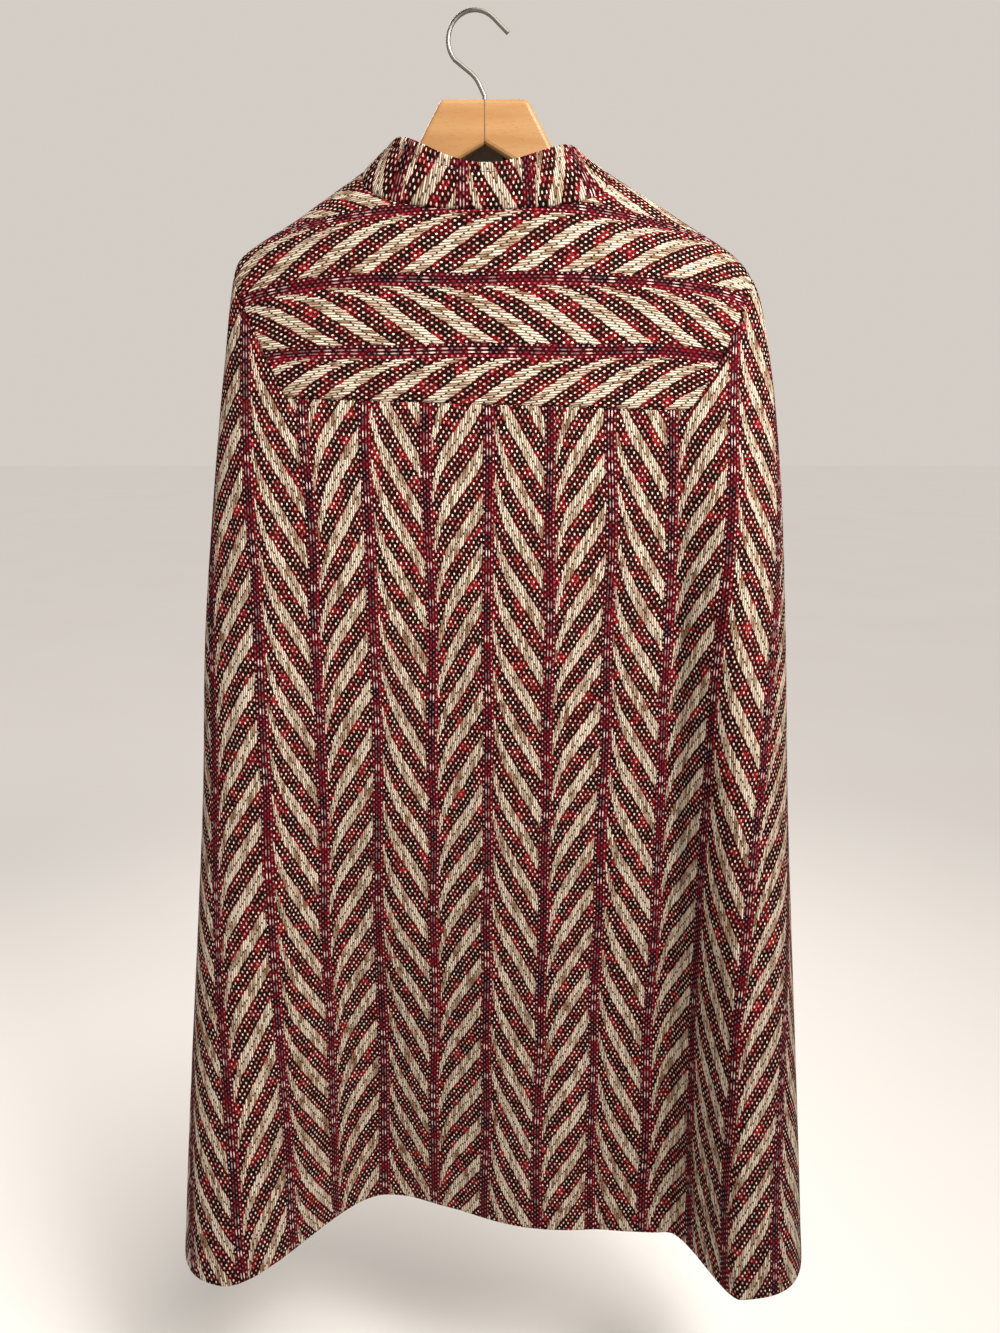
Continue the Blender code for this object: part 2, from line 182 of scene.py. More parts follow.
shader.inputs["Specular IOR Level"].default_value = 0.3
finish_solid("hanger_arm_left", beech)
finish_solid("hanger_arm_right", beech)


# Hook
# One length of steel wire bent into a bow and a short stem, pushed into the wood at the joint.
# The metal is dull grey, with fine marks along the wire and a little wear.
steel, draft, shader = new_finish("dull_steel_wire", 0.36)
wire_place = draft.object_place()
tarnish = draft.noise(wire_place, (160, 160, 160), 3.0)
scratches = draft.noise(wire_place, (900, 2500, 900))
draft.feed(shader.inputs["Base Color"], draft.mix(tarnish, dye(92, 90, 87), dye(138, 135, 130)))
draft.feed(shader.inputs["Roughness"], draft.fade(tarnish, 0.3, 0.7, 0.36, 0.52))
shader.inputs["Metallic"].default_value = 1.0
raise_surface(draft, shader, scratches, 0.00003)
finish_solid("hanger_hook", steel)


# Back panel
# One wide piece of heavy wool cloth from side seam to side seam, woven with thick pale floats
# in slanted stripes between maroon columns. It is sewn to the yoke and hangs in long folds.
BACK_WIDE = 0.80
BACK_LONG = 0.90
WALL = 0.0026
HEM_Z = -1.207
HEM_SIDE_DROP = 0.008
HEM_POWER = 3
HEM_TURN_UP = 0.030
YOKE_SEAM_Z = -0.328
YOKE_SEAM_TILT = 0.0078
YOKE_TIP_Z = -0.214
YOKE_CORNERS = (-0.742, 0.667)

# The cape's sections, from the neck points to the hem. left and right are the outline, side_y is
# where back and front meet, and corner is how square the section's ends are. The next five are
# the back's places in Y on the fall lines, and front is the front's place in Y.
Section = namedtuple(
    "Section",
    "z left right side_y corner left_fold left_valley centre right_foot right_fold front",
)
SECTIONS = (
    Section(-0.100, -0.060, 0.076, 0.000, 2.0, -0.030, -0.040, -0.043, -0.040, -0.030, 0.038),
    Section(-0.126, -0.098, 0.114, 0.000, 2.0, -0.032, -0.041, -0.045, -0.041, -0.032, 0.037),
    Section(-0.165, -0.158, 0.180, 0.000, 2.3, -0.034, -0.043, -0.047, -0.043, -0.034, 0.035),
    Section(-0.205, -0.217, 0.242, 0.000, 3.0, -0.036, -0.045, -0.048, -0.044, -0.038, 0.034),
    Section(-0.232, -0.224, 0.258, -0.001, 3.6, -0.038, -0.046, -0.048, -0.044, -0.043, 0.033),
    Section(-0.278, -0.231, 0.269, -0.002, 4.2, -0.042, -0.047, -0.048, -0.044, -0.049, 0.032),
    Section(-0.330, -0.239, 0.278, -0.003, 5.0, -0.046, -0.047, -0.047, -0.043, -0.056, 0.032),
    Section(-0.413, -0.250, 0.288, -0.006, 6.0, -0.051, -0.048, -0.045, -0.040, -0.065, 0.032),
    Section(-0.552, -0.266, 0.299, -0.010, 7.5, -0.058, -0.047, -0.042, -0.035, -0.078, 0.033),
    Section(-0.696, -0.276, 0.308, -0.014, 9.0, -0.066, -0.042, -0.038, -0.033, -0.090, 0.034),
    Section(-0.847, -0.290, 0.320, -0.018, 10.0, -0.078, -0.030, -0.036, -0.034, -0.103, 0.035),
    Section(-1.004, -0.305, 0.333, -0.022, 11.0, -0.096, -0.009, -0.036, -0.039, -0.117, 0.036),
    Section(-1.168, -0.319, 0.346, -0.026, 12.0, -0.114, 0.008, -0.038, -0.045, -0.130, 0.037),
    Section(-1.225, -0.323, 0.350, -0.027, 12.0, -0.120, 0.012, -0.038, -0.047, -0.134, 0.037),
)

# The back's fall lines, from the shoulder to the hem: where each fold's ridge or foot runs in X
FallLine = namedtuple("FallLine", "field shoulder_x hem_x")
FALL_LINES = (
    FallLine("left_fold", -0.205, -0.268),
    FallLine("left_valley", -0.130, -0.108),
    FallLine("centre", 0.030, 0.055),
    FallLine("right_foot", 0.170, 0.208),
    FallLine("right_fold", 0.232, 0.266),
)

# Soft creases of the back: a line from its head to its foot, how far it reaches to either side
# of the line, and how far it stands out at its middle, below zero for a trough
Crease = namedtuple("Crease", "head_x head_z foot_x foot_z left_reach right_reach height")
BACK_CREASES = (
    Crease(-0.035, -0.42, -0.022, -1.06, 0.050, 0.034, -0.0042),
    Crease(0.060, -0.50, 0.075, -1.20, 0.042, 0.060, 0.0030),
    Crease(0.142, -0.36, 0.160, -0.82, 0.030, 0.026, 0.0026),
    Crease(0.188, -0.345, 0.206, -1.20, 0.020, 0.012, -0.0052),
    Crease(-0.165, -0.40, -0.172, -0.86, 0.030, 0.040, -0.0030),
    Crease(-0.212, -0.30, -0.226, -0.66, 0.020, 0.024, 0.0026),
    Crease(-0.062, -0.90, -0.050, -1.21, 0.036, 0.030, 0.0036),
    Crease(0.118, -0.84, 0.128, -1.21, 0.030, 0.032, -0.0032),
)
CREASE_TAPER = 0.25
CREASE_END = 1.12


def smooth_through(at, places, values):
    """Values on smooth curves through a table, flat beyond both ends and never past a row."""
    at = np.asarray(at, float)
    count = len(places)
    x = np.broadcast_to(np.asarray(places, float).reshape(count, -1), (count, at.size))
    y = np.broadcast_to(np.asarray(values, float).reshape(count, -1), (count, at.size))
    run = np.diff(x, axis=0)
    rise = np.diff(y, axis=0) / run
    both = rise[:-1] + rise[1:]
    keeps_on = rise[:-1] * rise[1:] > 0
    slope = np.zeros_like(x)
    slope[1:-1] = np.where(keeps_on, 2 * rise[:-1] * rise[1:] / np.where(keeps_on, both, 1.0), 0.0)
    held = np.clip(at.ravel(), x[0], x[-1])
    k = np.clip((held >= x[1:-1]).sum(axis=0), 0, count - 2)
    each = np.arange(at.size)
    t = (held - x[k, each]) / run[k, each]
    curve = y[k, each] * (1 + 2 * t) * (1 - t) ** 2 + y[k + 1, each] * t * t * (3 - 2 * t)
    curve += run[k, each] * (slope[k, each] * t * (1 - t) ** 2 - slope[k + 1, each] * t * t * (1 - t))
    return curve.reshape(at.shape)


def ease(t):
    """From 0 to 1, softly at both ends."""
    t = np.clip(t, 0.0, 1.0)
    return t * t * (3 - 2 * t)


FINE_LEVELS = np.linspace(-1.25, -0.09, 900)
RISING = SECTIONS[::-1]
SECTION_LINES = {
    field: smooth_through(FINE_LEVELS, [row.z for row in RISING], [getattr(row, field) for row in RISING])
    for field in Section._fields
}


def section_value(field, z):
    return np.interp(z, FINE_LEVELS, SECTION_LINES[field])


def share_down(z):
    """How far down the cape a level is, from the shoulder tips to the hem."""
    return np.clip((z - YOKE_TIP_Z) / (HEM_Z - YOKE_TIP_Z), 0.0, 1.0)


def creased(x, z, creases):
    """How far cloth stands out at each place for soft troughs and ridges along their lines."""
    out = np.zeros_like(x)
    for row in creases:
        down = (row.head_z - z) / (row.head_z - row.foot_z)
        middle = row.head_x + (row.foot_x - row.head_x) * down
        reach = np.where(x < middle, row.left_reach, row.right_reach)
        across = np.clip(np.abs(x - middle) / reach, 0.0, 1.0)
        along = ease(down / CREASE_TAPER) * ease((CREASE_END - down) / CREASE_TAPER)
        out += row.height * along * (0.5 + 0.5 * np.cos(np.pi * across))
    return out


def back_line(x, z):
    """The back's place in Y, before its ends round in to the sides."""
    places = [row.shoulder_x + (row.hem_x - row.shoulder_x) * share_down(z) for row in FALL_LINES]
    folds = smooth_through(x, places, [section_value(row.field, z) for row in FALL_LINES])
    return folds - creased(x, z, BACK_CREASES)


def width_share(across):
    """The share of the half width at a place across, where places lie closer near the sides."""
    return np.sin(across * np.pi / 2)


def tube_point(across, z, line):
    """Points of the cape's outer face. across goes from -1 at the left side to 1 at the right."""
    left, right = section_value("left", z), section_value("right", z)
    share = width_share(across)
    x = (left + right) / 2 + (right - left) / 2 * share
    side_y = section_value("side_y", z)
    end_round = np.sqrt(np.maximum(0.0, 1 - np.abs(share) ** section_value("corner", z)))
    end_round = np.where(np.abs(across) > 1, -end_round, end_round)
    return np.stack([x, side_y + (line(x, z) - side_y) * end_round, z], axis=-1)


def unit(vectors):
    return vectors / np.linalg.norm(vectors, axis=-1, keepdims=True)


NORMAL_STEP_ACROSS = 0.004
NORMAL_STEP_UP = 0.0012


def outward(across, z, line):
    """The outer face's normals, where line is the back's or the front's."""
    right = tube_point(across + NORMAL_STEP_ACROSS, z, line)
    left = tube_point(across - NORMAL_STEP_ACROSS, z, line)
    up = tube_point(across, z + NORMAL_STEP_UP, line)
    down = tube_point(across, z - NORMAL_STEP_UP, line)
    normal = unit(np.cross(right - left, up - down))
    return normal if line is back_line else -normal


def yoke_seam_z(across):
    """The seam between yoke and back panel: level across, then up to each shoulder tip."""
    share = width_share(across)
    level = YOKE_SEAM_Z - YOKE_SEAM_TILT * np.clip(share, *YOKE_CORNERS)
    corner = np.where(share < 0, *YOKE_CORNERS)
    past = np.maximum(0.0, (np.abs(share) - np.abs(corner)) / (1 - np.abs(corner)))
    return level + (YOKE_TIP_Z - level) * past


def hem_z(across):
    return HEM_Z - HEM_SIDE_DROP * np.abs(across) ** HEM_POWER


# How cloth turns in at a cut edge: how far in from the edge, and how far below the face
EdgeStep = namedtuple("EdgeStep", "inward sink")
TURNED_EDGE = (
    EdgeStep(0.0, WALL),
    EdgeStep(0.0002, 0.0015),
    EdgeStep(0.0009, 0.0006),
    EdgeStep(0.0020, 0.0001),
)
FLAT_FROM = 0.004
TURN_UP_STEPS = (0.004, 0.012)
TURN_UP_GAP = 0.0004
REVERSE_EDGE = 0.0006
REVERSE_SINK = WALL - 0.0001
CELL = 0.0034
REVERSE_CELL = 0.012
Steps = namedtuple("Steps", "share sink")


def cut_steps(length, cell, turn_up=0.0):
    """Steps along a piece of cloth: its edges turned in at both ends, and a hem turned up."""
    count = max(2, round((length - 2 * FLAT_FROM) / cell))
    flat = [(d, 0.0) for d in np.linspace(FLAT_FROM, length - FLAT_FROM, count + 1)]
    far = [(length - row.inward, row.sink) for row in TURNED_EDGE[::-1]]
    hem = [(length - d, WALL + TURN_UP_GAP) for d in (*TURN_UP_STEPS, turn_up)] if turn_up else []
    rows = np.array([*TURNED_EDGE, *flat, *far, *hem])
    return Steps(rows[:, 0] / length, rows[:, 1])


def reverse_steps(length):
    """Steps along the reverse of a piece, just short of its edges."""
    count = max(2, round(length / REVERSE_CELL))
    places = np.linspace(REVERSE_EDGE, length - REVERSE_EDGE, count + 1)
    return Steps(places / length, np.full(count + 1, REVERSE_SINK))


def add_object(name, data):
    made = bpy.data.objects.new(name, data)
    bpy.context.scene.collection.objects.link(made)
    return made


def lay_sheet(name, wide, long, lie, finish, inside=False):
    """A sheet of cloth laid on the cape's form from a flat grid, row by row from its top edge.
    lie gives points, normals and places in the pattern for shares across and down."""
    grid = bmesh.new()
    bmesh.ops.create_grid(grid, x_segments=len(wide.share) - 1, y_segments=len(long.share) - 1, size=0.5)
    if inside:
        bmesh.ops.reverse_faces(grid, faces=grid.faces)
    mesh = bpy.data.meshes.new(name)
    grid.to_mesh(mesh)
    grid.free()
    flat = np.empty(len(mesh.vertices) * 3)
    mesh.vertices.foreach_get("co", flat)
    flat = flat.reshape(-1, 3)
    column = np.rint((flat[:, 0] + 0.5) * (len(wide.share) - 1)).astype(int)
    row = np.rint((0.5 - flat[:, 1]) * (len(long.share) - 1)).astype(int)
    points, normals, pattern = lie(wide.share[column], long.share[row])
    points = points - normals * np.maximum(wide.sink[column], long.sink[row])[:, None]
    mesh.vertices.foreach_set("co", points.ravel())
    corners = np.empty(len(mesh.loops), int)
    mesh.loops.foreach_get("vertex_index", corners)
    cloth_map = mesh.uv_layers.new(name="cloth")
    cloth_map.data.foreach_set("uv", pattern[corners].ravel())
    mesh.shade_smooth()
    mesh.update()
    mesh.materials.append(finish)
    sheet = add_object(name, mesh)
    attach(sheet, "root")
    return sheet


# The woven pattern goes from one maroon column to the next across the cloth. These are the
# columns' spacings along the cloth, to either side of the one that falls down the middle.
ColumnSpacing = namedtuple("ColumnSpacing", "z middle_x to_left to_right")
COLUMN_SPACINGS = (
    ColumnSpacing(-0.20, 0.0110, 0.0553, 0.0553),
    ColumnSpacing(-0.35, 0.0107, 0.0553, 0.0553),
    ColumnSpacing(-0.47, 0.0101, 0.0538, 0.0572),
    ColumnSpacing(-0.70, 0.0095, 0.0540, 0.0570),
    ColumnSpacing(-0.95, 0.0069, 0.0565, 0.0570),
    ColumnSpacing(-1.15, 0.0048, 0.0600, 0.0580),
    ColumnSpacing(-1.24, 0.0045, 0.0610, 0.0585),
)

# Down a column it repeats. The back holds PATTERN_EASE fewer repeats than even ones would give,
# as they lengthen towards the hem, and each zone lies lower than the one on its left by
# PATTERN_TILT of a repeat.
PATTERN_REPEAT = 0.046
PATTERN_EASE = 0.70
PATTERN_TILT = 0.115

# A stripe climbs by STRIPE_RISE repeats across its zone, and by STRIPE_HUG more close to a column
STRIPE_RISE = 1.57
STRIPE_HUG = 0.35
HUG_REACH = 0.27
STRIPE_START = 0.58
ODD_STRIPE_START = 0.19

# Strands in a zone, how many of them a float leans across, the share of a repeat that floats
# cover, and how many rows of dots a repeat holds
STRANDS = 19
FLOAT_LEAN = 2
FLOATS_LONG = 0.51
DOT_ROWS = 6

# Half a column's share of the spacing, its strands, and what one repeat of it holds
COLUMN_SHARE = 0.0975
COLUMN_STRANDS = 4
KNOTS_IN_REPEAT = 9
DASHES_IN_REPEAT = 4

weave = bpy.data.node_groups.new("striped_weave", "ShaderNodeTree")
weave.interface.new_socket("Cloth", in_out="INPUT", socket_type="NodeSocketVector")
weave.interface.new_socket("Colour", in_out="OUTPUT", socket_type="NodeSocketColor")
weave.interface.new_socket("Height", in_out="OUTPUT", socket_type="NodeSocketFloat")
loom = Draft(weave)
cloth = weave.nodes.new("NodeGroupInput").outputs["Cloth"]
woven = weave.nodes.new("NodeGroupOutput").inputs

# Where a point lies in the pattern: which stripe zone, how far across it, how far down the cloth
wander = loom.noise(cloth, (0.9, 0.35, 1), 0.0)
drift = loom.noise(cloth, (0.5, 0.4, 1), 0.0)
column_count, repeat_count, _ = loom.parts(cloth)
across_cloth = loom.reckon("ADD", column_count, loom.fade(wander, 0.2, 0.8, -0.025, 0.025))
down_cloth = loom.reckon("ADD", repeat_count, loom.fade(drift, 0.2, 0.8, -0.03, 0.03))
zone = loom.reckon("FLOOR", across_cloth)
odd_zone = loom.reckon("FLOORED_MODULO", zone, 2.0)
way = loom.reckon("MULTIPLY_ADD", odd_zone, 2.0, -1.0)
in_zone = loom.reckon("SUBTRACT", loom.reckon("FRACT", across_cloth), COLUMN_SHARE)
zone_share = loom.reckon("DIVIDE", in_zone, 1 - 2 * COLUMN_SHARE)
stripe_start = loom.reckon("MULTIPLY_ADD", odd_zone, ODD_STRIPE_START - STRIPE_START, STRIPE_START)


def stripe_at(share):
    """The count of stripes down to a point, whole at their middles, at a share across its zone.
    They slant, steeper where they hug the column on their left, and turn over in odd zones."""
    near = loom.reckon("MINIMUM", loom.reckon("DIVIDE", share, HUG_REACH), 1.0)
    bent = loom.reckon("MULTIPLY_ADD", loom.reckon("MULTIPLY", near, near), -0.5, 1.5)
    hug = loom.reckon("MULTIPLY", loom.reckon("MULTIPLY", near, bent), STRIPE_HUG)
    rise = loom.reckon("MULTIPLY_ADD", share, STRIPE_RISE, hug)
    return loom.reckon("ADD", loom.reckon("MULTIPLY_ADD", rise, way, down_cloth), stripe_start)


def from_centre(place):
    """How far a place lies from the middle of its own step, from -0.5 to 0.5."""
    return loom.reckon("SUBTRACT", loom.reckon("FRACT", place), 0.5)


def strands_at(place):
    """The strand at a place across a zone, how far from its middle, and its share across."""
    strand = loom.reckon("FLOOR", place)
    share = loom.reckon("DIVIDE", loom.reckon("ADD", strand, 0.5), STRANDS)
    return strand, from_centre(place), share


def spot(across, narrow, along, short):
    """A soft oval, by how narrow and how short it is."""
    wide_part = loom.reckon("POWER", loom.reckon("MULTIPLY", across, narrow), 2.0)
    long_part = loom.reckon("POWER", loom.reckon("MULTIPLY", along, short), 2.0)
    return loom.fade(loom.reckon("ADD", wide_part, long_part), 0.5, 1.2, 1.0, 0.0)


# Cream floats, two end to end on each strand of a stripe, which lean a little along it. They
# are tied down between the two, where a dark point shows.
stripe_count = loom.reckon("ADD", stripe_at(zone_share), 0.5)
stripe = loom.reckon("FLOOR", stripe_count)
from_stripe = from_centre(stripe_count)
lean = loom.reckon("MULTIPLY", loom.reckon("MULTIPLY", from_stripe, way), FLOAT_LEAN)
strand, strand_side, strand_share = strands_at(loom.reckon("MULTIPLY_ADD", zone_share, STRANDS, lean))
uneven = loom.fade(loom.chance(strand, zone, stripe), 0.0, 1.0, -0.025, 0.025)
from_tie = loom.reckon("ADD", loom.reckon("SUBTRACT", stripe_at(strand_share), stripe), uneven)
to_tip = loom.reckon("MULTIPLY", loom.reckon("ABSOLUTE", from_tie), 2 / FLOATS_LONG)
flank = loom.reckon("ABSOLUTE", strand_side)
tip = loom.reckon("POWER", to_tip, 3.0)
rounded = loom.reckon("MULTIPLY_ADD", loom.reckon("MULTIPLY", flank, flank), 1.4, tip)
cream_float = loom.fade(rounded, 0.78, 1.04, 1.0, 0.0)
tie = spot(strand_side, 2.7, from_tie, 38.0)
lower_float = loom.reckon("GREATER_THAN", from_tie, 0.0)
float_chance = loom.chance(strand, zone, loom.reckon("MULTIPLY_ADD", stripe, 2.0, lower_float))
fibres = loom.noise(cloth, (170, 22, 1))
tanned = loom.noise(cloth, (4.18, 3.04, 1.9))
tan_patch = loom.fade(tanned, 0.35, 0.62, 0.42, 1.0)
tan_share = loom.reckon("MULTIPLY", loom.fade(float_chance, 0.15, 0.9), tan_patch)
float_colour = loom.mix(tan_share, dye(255, 237, 212), dye(154, 114, 82))
fibre_shade = loom.fade(fibres, 0.3, 0.7, 0.74, 1.06)
# Painted shade: each float darkens towards its flanks, where it meets the next strand. The same share also
# holds its fibre tone and the dark tie point.
float_tone_and_painted_shade = loom.reckon("MULTIPLY", fibre_shade, loom.fade(flank, 0.14, 0.5, 1.0, 0.22))
float_tone_and_painted_shade = loom.reckon("MULTIPLY", float_tone_and_painted_shade, loom.fade(tie, 0.0, 1.0, 1.0, 0.06))
float_colour = loom.shade(float_colour, float_tone_and_painted_shade)

# Rows of pale dots on a dark ground between the stripes, with crimson patches
dot_strand, dot_side, dot_share = strands_at(loom.reckon("MULTIPLY", zone_share, STRANDS))
row_slant = loom.reckon("MULTIPLY", loom.reckon("MULTIPLY", dot_share, STRIPE_RISE), way)
hug_past = loom.reckon("MULTIPLY", way, STRIPE_HUG)
row_shift = loom.reckon("ADD", loom.reckon("ADD", row_slant, stripe_start), hug_past)
row_place = loom.reckon("MULTIPLY_ADD", loom.reckon("ADD", down_cloth, row_shift), DOT_ROWS, 0.5)
dot_row = loom.reckon("FLOOR", row_place)
dot_chance = loom.chance(dot_strand, zone, dot_row)
dot_jitter = loom.fade(dot_chance, 0.0, 1.0, -0.56, -0.44)
dot_along = loom.reckon("ADD", loom.reckon("FRACT", row_place), dot_jitter)
dot_aside = loom.fade(loom.chance(zone, dot_row, dot_strand), 0.0, 1.0, -0.10, 0.10)
dot = spot(loom.reckon("ADD", dot_side, dot_aside), 2.9, dot_along, 6.0)
dot_colour = loom.mix(loom.fade(dot_chance, 0.45, 0.95), dye(250, 230, 208), dye(214, 134, 122))
dot_strength = loom.fade(loom.chance(dot_row, dot_strand, zone), 0.0, 1.0, 0.45, 1.0)
patches = loom.noise(cloth, (4.6, 3.8, 1), 3.0)
picks = loom.noise(cloth, (34, 22, 1), 1.0)
picked_patches = loom.reckon("ADD", patches, loom.fade(picks, 0.3, 0.7, -0.11, 0.11))
above_stripe = loom.fade(from_stripe, -0.42, -0.30, 0.0, 0.07)
redness = loom.reckon("ADD", picked_patches, above_stripe)
ground = loom.mix(loom.fade(picks, 0.35, 0.70), dye(10, 4, 4), dye(40, 16, 12))
ground = loom.mix(loom.fade(redness, 0.50, 0.64), ground, dye(72, 5, 10))
ground = loom.mix(loom.fade(redness, 0.64, 0.80), ground, dye(150, 26, 33))
ground = loom.mix(loom.reckon("MULTIPLY", dot, dot_strength), ground, dot_colour)
zone_colour = loom.mix(cream_float, ground, float_colour)
float_round = loom.fade(flank, 0.0, 0.5, 1.0, 0.45)
float_height = loom.reckon("MULTIPLY", float_round, loom.fade(tie, 0.0, 1.0, 1.0, 0.35))
dot_height = loom.reckon("MULTIPLY_ADD", dot, 0.35, 0.15)
zone_height = loom.reckon("MAXIMUM", loom.reckon("MULTIPLY", float_height, cream_float), dot_height)

# Maroon columns: dark red and nearly black strands, one edge crimson, with pairs of thin pale dashes
# down the middle and small pale knots at both edges
column_place = loom.reckon("ADD", across_cloth, 0.5)
column_index = loom.reckon("FLOOR", column_place)
from_column = from_centre(column_place)
edge_step = loom.reckon("FLOOR", loom.reckon("MULTIPLY", down_cloth, KNOTS_IN_REPEAT))
edge_chance = loom.chance(edge_step, column_index, loom.reckon("SIGN", from_column))
column_edge = loom.fade(edge_chance, 0.0, 1.0, COLUMN_SHARE - 0.012, COLUMN_SHARE + 0.012)
in_column = loom.reckon("LESS_THAN", loom.reckon("ABSOLUTE", from_column), column_edge)
half_strands = COLUMN_STRANDS / 2
strand_place = loom.reckon("MULTIPLY_ADD", from_column, half_strands / COLUMN_SHARE, half_strands)
column_strand = loom.reckon("FLOOR", strand_place)
column_side = from_centre(strand_place)
stagger = loom.reckon("MULTIPLY", loom.reckon("FLOORED_MODULO", column_strand, 2.0), 0.5)
knot_place = loom.reckon("MULTIPLY_ADD", down_cloth, KNOTS_IN_REPEAT, stagger)
knot = loom.reckon("FLOOR", knot_place)
knot_along = from_centre(knot_place)
knot_chance = loom.chance(column_strand, column_index, knot)
column_mood = loom.noise(cloth, (2.53, 2.07, 2.3))
column_colour = loom.mix(loom.fade(column_mood, 0.38, 0.60), dye(28, 5, 14), dye(66, 4, 14))
crimson_edge = loom.reckon("GREATER_THAN", column_strand, COLUMN_STRANDS - 1.5)
crimson_knot = loom.fade(knot_chance, 0.55, 1.0, 0.0, 0.55)
crimson_share = loom.reckon("MULTIPLY_ADD", crimson_edge, 0.45, crimson_knot)
column_colour = loom.mix(crimson_share, column_colour, dye(124, 8, 27))
# Painted shade: each column strand darkens towards its sides and its knot ends, where strands meet. The
# same share also raises the strands in the bump.
side_gap_shade = loom.fade(loom.reckon("ABSOLUTE", column_side), 0.32, 0.5, 1.0, 0.4)
end_gap_shade = loom.fade(loom.reckon("ABSOLUTE", knot_along), 0.30, 0.5, 1.0, 0.55)
column_gap_shade_and_relief = loom.reckon("MULTIPLY", side_gap_shade, end_gap_shade)
column_colour = loom.shade(column_colour, column_gap_shade_and_relief)
inner_strand = loom.reckon("COMPARE", column_strand, 1.5, 0.6)
column_shift = loom.reckon("MULTIPLY", column_index, 0.37)
dash_place = loom.reckon("MULTIPLY_ADD", down_cloth, DASHES_IN_REPEAT, column_shift)
dash = loom.reckon("FLOOR", dash_place)
pair_strength = loom.fade(loom.chance(dash, column_index, 0.5), 0.3, 0.9, 0.0, 1.0)
dash_strength = loom.fade(loom.chance(dash, column_index, column_strand), 0.0, 0.6, 0.35, 1.0)
dash_strength = loom.reckon("MULTIPLY", pair_strength, dash_strength)
pale_dash = loom.reckon("MULTIPLY", spot(column_side, 4.2, from_centre(dash_place), 3.4), inner_strand)
pale_dash = loom.reckon("MULTIPLY", pale_dash, dash_strength)
knot_strength = loom.reckon("MULTIPLY", loom.fade(knot_chance, 0.2, 1.0, 0.9, 0.1), 0.8)
pale_knot = loom.reckon("MULTIPLY", spot(column_side, 3.8, knot_along, 5.0), knot_strength)
fainter_inside = loom.reckon("MULTIPLY_ADD", inner_strand, -0.7, 1.0)
pale_spot = loom.reckon("MAXIMUM", pale_dash, loom.reckon("MULTIPLY", pale_knot, fainter_inside))
column_colour = loom.mix(pale_spot, column_colour, dye(236, 204, 194))
column_height = loom.reckon("MULTIPLY_ADD", pale_spot, 0.35, loom.reckon("MULTIPLY", column_gap_shade_and_relief, 0.45))
height_step = loom.reckon("SUBTRACT", column_height, zone_height)
loom.feed(woven["Colour"], loom.mix(in_column, zone_colour, column_colour))
loom.feed(woven["Height"], loom.reckon("MULTIPLY_ADD", in_column, height_step, zone_height))

FLOAT_DEPTH = 0.0013
wool, draft, shader = new_finish("striped_wool", 0.9)
placed_weave = draft.tree.nodes.new("ShaderNodeGroup")
placed_weave.node_tree = weave
draft.feed(placed_weave.inputs["Cloth"], draft.cloth_place())
draft.feed(shader.inputs["Base Color"], placed_weave.outputs["Colour"])
shader.inputs["Specular IOR Level"].default_value = 0.06
raise_surface(draft, shader, placed_weave.outputs["Height"], FLOAT_DEPTH)


def spacing_value(field, z):
    rows = COLUMN_SPACINGS[::-1]
    return np.interp(z, [row.z for row in rows], [getattr(row, field) for row in rows])


RING_CELLS = 500
RING_ROWS = 114
RING_LEVELS = np.linspace(-1.24, -0.10, RING_ROWS + 1)
JUST_INSIDE = 0.001


def lengths_round(line):
    """A finder of the length along a level of the cape, from the middle column of the pattern."""
    across = np.linspace(-1.0, 1.0, RING_CELLS + 1)
    rows = []
    for z in RING_LEVELS:
        ring = tube_point(across, np.full_like(across, z), line)
        steps = np.linalg.norm(np.diff(ring, axis=0), axis=1)
        total = np.concatenate([[0.0], np.cumsum(steps)])
        rows.append(total - np.interp(spacing_value("middle_x", z), ring[:, 0], total))
    table = np.array(rows)

    def length_at(places, heights):
        column = np.clip((places + 1) / 2 * RING_CELLS, 0, RING_CELLS - JUST_INSIDE)
        level_step = RING_LEVELS[1] - RING_LEVELS[0]
        row = np.clip((heights - RING_LEVELS[0]) / level_step, 0, RING_ROWS - JUST_INSIDE)
        c, r = column.astype(int), row.astype(int)
        x, y = column - c, row - r
        low = table[r, c] * (1 - x) + table[r, c + 1] * x
        high = table[r + 1, c] * (1 - x) + table[r + 1, c + 1] * x
        return low * (1 - y) + high * y

    return length_at


def lie_back(top_z, bottom_z, pattern_at):
    """How a piece of the back lies between two seams."""

    def lie(across_share, down_share):
        across = across_share * 2 - 1
        z = top_z(across) + (bottom_z(across) - top_z(across)) * down_share
        points = tube_point(across, z, back_line)
        return points, outward(across, z, back_line), pattern_at(across, z, points)

    return lie


back_length = lengths_round(back_line)


def back_pattern(across, z, points):
    along = back_length(across, z)
    columns = along / np.where(along < 0, spacing_value("to_left", z), spacing_value("to_right", z))
    down = YOKE_SEAM_Z - z
    repeats = down / PATTERN_REPEAT - PATTERN_EASE * (down / (YOKE_SEAM_Z - HEM_Z)) ** 2
    return np.stack([columns, repeats - PATTERN_TILT * columns], axis=-1)


def sew_panel(node, lie, wide, long, turn_up):
    """Lays a panel's face and its reverse on the cape's form, in the place of its solid."""
    face = lay_sheet(node + "_cloth", cut_steps(wide, CELL), cut_steps(long, CELL, turn_up), lie, wool)
    reverse = lay_sheet(node + "_inside", reverse_steps(wide), reverse_steps(long), lie, wool, inside=True)
    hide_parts(node)


sew_panel(
    "back_panel",
    lie_back(yoke_seam_z, hem_z, back_pattern),
    BACK_WIDE,
    BACK_LONG,
    HEM_TURN_UP,
)


